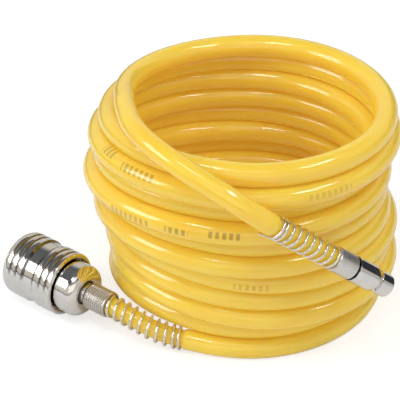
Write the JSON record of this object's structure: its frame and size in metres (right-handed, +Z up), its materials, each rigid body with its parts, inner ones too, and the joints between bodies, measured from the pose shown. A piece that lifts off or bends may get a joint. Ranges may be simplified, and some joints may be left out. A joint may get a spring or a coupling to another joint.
{
  "type": "coiled air hose",
  "caption": "Coiled flexible air hose that stands on its coil, with a sliding-sleeve quick coupler at one end, a plug at the other and a spring guard at each.",
  "frame": {"origin": "On the floor, under the middle of the whole object's bounding box", "axes": "+Z up along the coil's axis, +X from the coupler's side to the plug's side, -Y towards the side on which the upper end crosses the coil"},
  "size_m": [0.1552, 0.1318, 0.0969],
  "materials": {
    "hose": "glossy, slightly clear",
    "plated": "polished",
    "nut": "satin, finely knurled",
    "wire": "bright drawn wire",
    "ball": "polished",
    "brass": "turned",
    "seal": "matt"
  },
  "bodies": {
    "hose": {"hose_coil": "hose", "coupler_tail_hose": "hose", "plug_tail_hose": "hose", "coupler_front_body": "plated", "coupler_rear_body": "plated", "coupler_clamp_nut": "nut", "coupler_spring_guard": "wire", "plug_body": "plated", "plug_clamp_nut": "nut", "plug_spring_guard": "wire", "sleeve_stop_ring": "wire", "sleeve_spring": "wire", "valve_spring": "wire", "plug_seal": "seal", "body_seal": "seal"},
    "sleeve": {"coupler_sleeve": "plated"},
    "ball_1": {"locking_ball_1": "ball"},
    "ball_2": {"locking_ball_2": "ball"},
    "ball_3": {"locking_ball_3": "ball"},
    "ball_4": {"locking_ball_4": "ball"},
    "valve": {"valve_poppet": "brass", "valve_seal": "seal"}
  },
  "joints": [
    {"name": "sleeve_slide", "type": "slide", "parent": "hose", "child": "sleeve", "axis": [0.7818, -0.6232, -0.0209], "range_m": [0, 0.004], "stiffness_N_per_m": 1500, "springref_m": -0.003, "deforming": ["sleeve_spring"]},
    {"name": "valve_slide", "type": "slide", "parent": "hose", "child": "valve", "axis": [0.7818, -0.6232, -0.0209], "range_m": [0, 0.004], "stiffness_N_per_m": 600, "springref_m": -0.004, "deforming": ["valve_spring"]},
    {"name": "ball_1_slide", "type": "slide", "parent": "hose", "child": "ball_1", "axis": [0.0163, -0.013, 0.9998], "range_m": [0, 0.00045]},
    {"name": "ball_2_slide", "type": "slide", "parent": "hose", "child": "ball_2", "axis": [-0.6233, -0.7819, 0], "range_m": [0, 0.00045]},
    {"name": "ball_3_slide", "type": "slide", "parent": "hose", "child": "ball_3", "axis": [-0.0163, 0.013, -0.9998], "range_m": [0, 0.00045]},
    {"name": "ball_4_slide", "type": "slide", "parent": "hose", "child": "ball_4", "axis": [0.6233, 0.7819, 0], "range_m": [0, 0.00045]}
  ],
  "couplings": [
    {"joint": "ball_1_slide", "follows": "sleeve_slide", "ratio": 0.1125},
    {"joint": "ball_2_slide", "follows": "sleeve_slide", "ratio": 0.1125},
    {"joint": "ball_3_slide", "follows": "sleeve_slide", "ratio": 0.1125},
    {"joint": "ball_4_slide", "follows": "sleeve_slide", "ratio": 0.1125}
  ]
}
